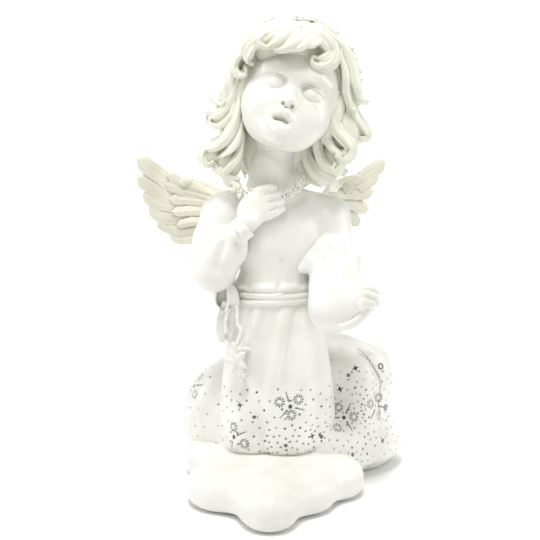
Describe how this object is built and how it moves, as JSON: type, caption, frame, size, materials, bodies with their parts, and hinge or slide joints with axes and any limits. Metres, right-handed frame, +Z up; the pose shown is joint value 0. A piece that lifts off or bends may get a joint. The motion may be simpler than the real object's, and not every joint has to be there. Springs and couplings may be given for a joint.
{
  "type": "kneeling angel figurine",
  "caption": "Cast resin figurine of a winged child kneeling on a scalloped cloud base, one hand on the chest and one held out, with a flat felted underside.",
  "frame": {"origin": "on the underside of the felt, directly below the trunk", "axes": "+Z up, the figure faces -Y, +X is the figure's left-hand side"},
  "size_m": [0.1219, 0.1165, 0.199],
  "materials": {
    "painted_resin": "cast polyresin under satin white paint",
    "painted_skin": "cast polyresin under smooth satin white paint",
    "ivory_resin": "cast polyresin under ivory-tinted satin paint",
    "wing_resin": "cast polyresin under cream paint, toned in the grooves",
    "crystal": "small foil-backed flat crystals",
    "felt": "thin pressed felt"
  },
  "bodies": {
    "root": {"felt_pad": "felt", "cloud_base": "painted_resin", "gown_skirt": "painted_resin", "gown_train": "painted_resin", "bodice": "painted_resin", "waist_sash": "painted_resin", "sash_knot": "painted_resin", "sash_tails": "painted_resin", "bead_string": "painted_resin", "star_charms": "painted_resin", "rose_charm": "painted_resin", "skirt_crystals": "crystal", "right_sleeve": "painted_resin", "right_cuff": "painted_resin", "right_hand": "painted_skin", "left_sleeve": "painted_resin", "left_cuff": "painted_resin", "left_hand": "painted_skin", "head": "painted_skin", "hair_cap": "ivory_resin", "hair_fringe": "ivory_resin", "right_curls": "ivory_resin", "left_curls": "ivory_resin", "flower_crown": "painted_resin", "necklace": "painted_resin", "right_wing": "wing_resin", "left_wing": "wing_resin"}
  },
  "joints": []
}
